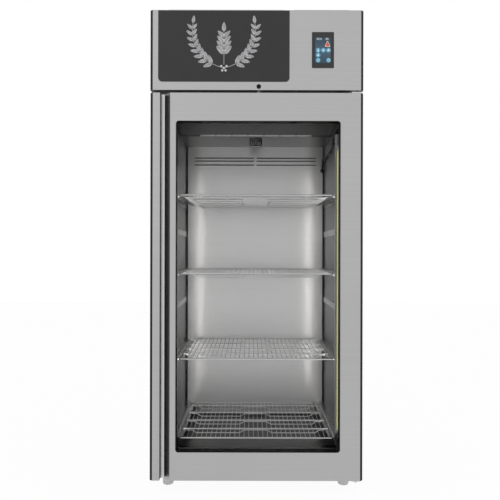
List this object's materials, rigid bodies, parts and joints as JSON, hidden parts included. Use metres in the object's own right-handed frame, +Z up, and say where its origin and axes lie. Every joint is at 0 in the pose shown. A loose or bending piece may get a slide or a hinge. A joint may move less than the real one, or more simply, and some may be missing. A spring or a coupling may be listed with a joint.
{
  "type": "dry aging cabinet",
  "caption": "Upright dry aging cabinet with a glazed hinged door, wire shelves on side runners, corner lamps, and a cooling unit behind a control fascia on top.",
  "frame": {"origin": "centre of the footprint on the floor", "axes": "+Z up, +X to the right seen from the front, the door faces -Y"},
  "size_m": [0.9, 0.73, 2.08],
  "materials": {
    "brushed_stainless": "fine horizontal brushing",
    "body_stainless": "fine brushing",
    "liner_stainless": "bright polished sheet",
    "galvanised_sheet": "dull zinc",
    "graphic_dark": "printed plate with a satin gloss",
    "bezel_dark": "satin moulded",
    "touch_glass": "lit touch glass",
    "lock_black": "black lacquered",
    "lock_zinc": "cast zinc",
    "clear_glass": "polished clear",
    "spacer_bar": "dark anodised",
    "window_black": "black moulded",
    "seal_grey": "soft grey seal",
    "hinge_steel": "bright plated",
    "bush_plastic": "moulded",
    "foot_steel": "turned and satin",
    "shelf_wire": "bright plated wire",
    "runner_steel": "bright folded sheet",
    "lamp_profile": "satin extrusion",
    "lamp_diffuser": "greenish yellow light strip",
    "lead_black": "black sheath",
    "fitting_grey": "moulded",
    "fin_aluminium": "thin fin stock",
    "fan_black": "black moulded",
    "motor_grey": "dark enamel",
    "compressor_black": "black enamel",
    "copper_pipe": "drawn copper",
    "insulation_grey": "moulded foam shell",
    "electric_grey": "moulded box",
    "gland_black": "moulded"
  },
  "bodies": {
    "cabinet": {"air_tray": "liner_stainless", "base": "galvanised_sheet", "cable_gland": "gland_black", "casing_left": "body_stainless", "casing_right": "body_stainless", "ceiling": "galvanised_sheet", "compressor": "compressor_black", "compressor_base": "galvanised_sheet", "condenser": "fin_aluminium", "condenser_shroud": "galvanised_sheet", "control_box": "electric_grey", "cover_left": "body_stainless", "cover_right": "body_stainless", "display_bezel": "bezel_dark", "display_screen": "touch_glass", "duct_panel": "liner_stainless", "evaporator_coil": "fin_aluminium", "evaporator_housing": "insulation_grey", "evaporator_shroud": "galvanised_sheet", "fan_motors": "motor_grey", "fascia": "brushed_stainless", "feet_front": "foot_steel", "feet_rear": "foot_steel", "graphic_plate": "graphic_dark", "hinge_bracket_lower": "hinge_steel", "hinge_bracket_upper": "hinge_steel", "hinge_pins": "hinge_steel", "lamp_bars": "lamp_profile", "lamp_lead": "lead_black", "lamp_strips": "lamp_diffuser", "lead_fittings": "fitting_grey", "left_wall": "body_stainless", "liner": "liner_stainless", "lock_case": "lock_zinc", "probe": "fitting_grey", "probe_guard": "liner_stainless", "rear_grille": "galvanised_sheet", "rear_wall": "galvanised_sheet", "refrigerant_pipes": "copper_pipe", "right_wall": "body_stainless", "shelf_runners": "runner_steel", "spare_rails": "runner_steel", "top_sheet": "body_stainless"},
    "door": {"door_frame": "brushed_stainless", "window_trim": "window_black", "glass_outer": "clear_glass", "glass_spacer": "spacer_bar", "glass_inner": "clear_glass", "door_liner": "brushed_stainless", "door_gasket": "seal_grey", "hinge_bushes": "bush_plastic"},
    "lock_barrel": {"lock_barrel": "lock_black"},
    "lock_bolt": {"lock_bolt": "lock_zinc"},
    "condenser_fan": {"condenser_fan": "fan_black"},
    "evaporator_fan": {"evaporator_fan": "fan_black"},
    "shelf_1": {"shelf_1": "shelf_wire"},
    "shelf_2": {"shelf_2": "shelf_wire"},
    "shelf_3": {"shelf_3": "shelf_wire"},
    "shelf_4": {"shelf_4": "shelf_wire"}
  },
  "joints": [
    {"name": "door_hinge", "type": "hinge", "parent": "cabinet", "child": "door", "pos_m": [0.4237, -0.337, 0], "axis": [0, 0, 1], "range_deg": [0, 110]},
    {"name": "lock_turn", "type": "hinge", "parent": "cabinet", "child": "lock_barrel", "pos_m": [0.008, -0.352, 1.726], "axis": [0, 1, 0], "range_deg": [0, 90]},
    {"name": "lock_slide", "type": "slide", "parent": "cabinet", "child": "lock_bolt", "axis": [0, 0, -1], "range_m": [0, 0.005]},
    {"name": "condenser_fan_spin", "type": "hinge", "parent": "cabinet", "child": "condenser_fan", "pos_m": [0.33, 0.276, 1.825], "axis": [0, 1, 0], "continuous": true},
    {"name": "evaporator_fan_spin", "type": "hinge", "parent": "cabinet", "child": "evaporator_fan", "pos_m": [0, 0.17, 1.815], "axis": [0, 1, 0], "continuous": true},
    {"name": "shelf_1_slide", "type": "slide", "parent": "cabinet", "child": "shelf_1", "axis": [0, -1, 0], "range_m": [0, 0.012]},
    {"name": "shelf_2_slide", "type": "slide", "parent": "cabinet", "child": "shelf_2", "axis": [0, -1, 0], "range_m": [0, 0.012]},
    {"name": "shelf_3_slide", "type": "slide", "parent": "cabinet", "child": "shelf_3", "axis": [0, -1, 0], "range_m": [0, 0.012]},
    {"name": "shelf_4_slide", "type": "slide", "parent": "cabinet", "child": "shelf_4", "axis": [0, -1, 0], "range_m": [0, 0.012]}
  ],
  "couplings": [
    {"joint": "lock_turn", "follows": "lock_slide", "rad_per_m": 314.15}
  ]
}
